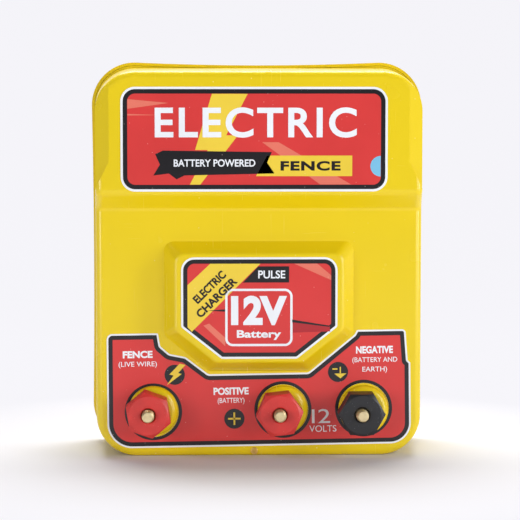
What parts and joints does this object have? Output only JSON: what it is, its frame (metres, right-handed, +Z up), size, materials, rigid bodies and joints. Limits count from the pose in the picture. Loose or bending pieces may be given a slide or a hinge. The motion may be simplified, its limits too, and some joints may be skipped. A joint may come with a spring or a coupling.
{
  "type": "electric fence charger",
  "caption": "Battery powered electric fence charger in a two-shell case with a raised panel, a central boss and threaded clamp terminals.",
  "frame": {"origin": "middle of the box around the object at its lowest level, where it stands", "axes": "+Z up, -Y towards the front with the labels and terminals, +X to the right seen from the front"},
  "size_m": [0.178, 0.083, 0.207],
  "materials": {
    "cover": "glossy yellow moulded shell",
    "rear": "glossy yellow moulded pan",
    "label": "printed red label under clear film",
    "brass": "turned brass, slightly dulled",
    "red_knob": "satin red plastic",
    "black_knob": "satin black plastic",
    "washer": "nickel-brass clamp washer",
    "steel": "zinc plated steel",
    "rusty_steel": "dull steel with a rusty centre",
    "seal": "black rubber",
    "lug": "tinned copper",
    "board": "green glass-fibre board",
    "spacer": "white nylon",
    "core": "laminated steel with dark edges",
    "bobbin": "white moulded nylon",
    "copper": "enamelled copper wire",
    "coil_tape": "yellow film tape over the winding",
    "ferrite": "grey ferrite",
    "can": "dark blue sleeve on an aluminium can",
    "sink": "extruded aluminium",
    "device": "black moulded package",
    "glass": "glass tube with metal caps",
    "resistor": "tan lacquer with colour bands",
    "varistor": "blue lacquered disc",
    "lead_red": "red insulated wire",
    "lead_black": "black insulated wire"
  },
  "bodies": {
    "case": {"front_cover": "cover", "rear_cover": "rear", "case_gasket": "seal", "cover_screws": "steel", "bottom_screw": "rusty_steel", "title_label": "label", "rating_label": "label", "terminal_label": "label", "fence_stud": "brass", "positive_stud": "brass", "negative_stud": "brass", "stud_seals": "seal", "stud_lock_nuts": "brass", "ring_lugs": "lug", "circuit_board": "board", "board_spacers": "spacer", "board_screws": "steel", "pulse_transformer_core": "core", "transformer_bobbin": "bobbin", "primary_coil": "copper", "secondary_coil": "coil_tape", "transformer_brackets": "steel", "bracket_bolts": "steel", "storage_capacitors": "can", "capacitor_strap": "steel", "inverter_core": "ferrite", "inverter_coil": "coil_tape", "heat_sink": "sink", "switching_transistor": "device", "thyristor": "device", "fuse": "glass", "fuse_clips": "lug", "small_capacitors": "can", "resistors": "resistor", "diodes": "device", "timer_chip": "device", "output_varistor": "varistor", "fence_lead": "lead_red", "positive_lead": "lead_red", "negative_lead": "lead_black", "primary_leads": "lead_black", "capacitor_leads": "lead_red"},
    "fence_washer": {"fence_clamp_washer": "washer"},
    "fence_knob": {"fence_knob": "red_knob"},
    "positive_washer": {"positive_clamp_washer": "washer"},
    "positive_knob": {"positive_knob": "red_knob"},
    "negative_washer": {"negative_clamp_washer": "washer"},
    "negative_knob": {"negative_knob": "black_knob"}
  },
  "joints": [
    {"name": "fence_lift", "type": "slide", "parent": "case", "child": "fence_washer", "axis": [0, -1, 0], "range_m": [0, 0.0102]},
    {"name": "fence_turn", "type": "hinge", "parent": "fence_washer", "child": "fence_knob", "pos_m": [-0.0575, -0.02965, 0.0244], "axis": [0, -1, 0], "range_deg": [0, 2880]},
    {"name": "positive_lift", "type": "slide", "parent": "case", "child": "positive_washer", "axis": [0, -1, 0], "range_m": [0, 0.0102]},
    {"name": "positive_turn", "type": "hinge", "parent": "positive_washer", "child": "positive_knob", "pos_m": [0.0104, -0.02965, 0.0244], "axis": [0, -1, 0], "range_deg": [0, 2880]},
    {"name": "negative_lift", "type": "slide", "parent": "case", "child": "negative_washer", "axis": [0, -1, 0], "range_m": [0, 0.0102]},
    {"name": "negative_turn", "type": "hinge", "parent": "negative_washer", "child": "negative_knob", "pos_m": [0.0528, -0.02965, 0.0244], "axis": [0, -1, 0], "range_deg": [0, 2880]}
  ],
  "couplings": [
    {"joint": "fence_lift", "follows": "fence_turn", "m_per_rad": 0.00020213},
    {"joint": "positive_lift", "follows": "positive_turn", "m_per_rad": 0.00020213},
    {"joint": "negative_lift", "follows": "negative_turn", "m_per_rad": 0.00020213}
  ]
}
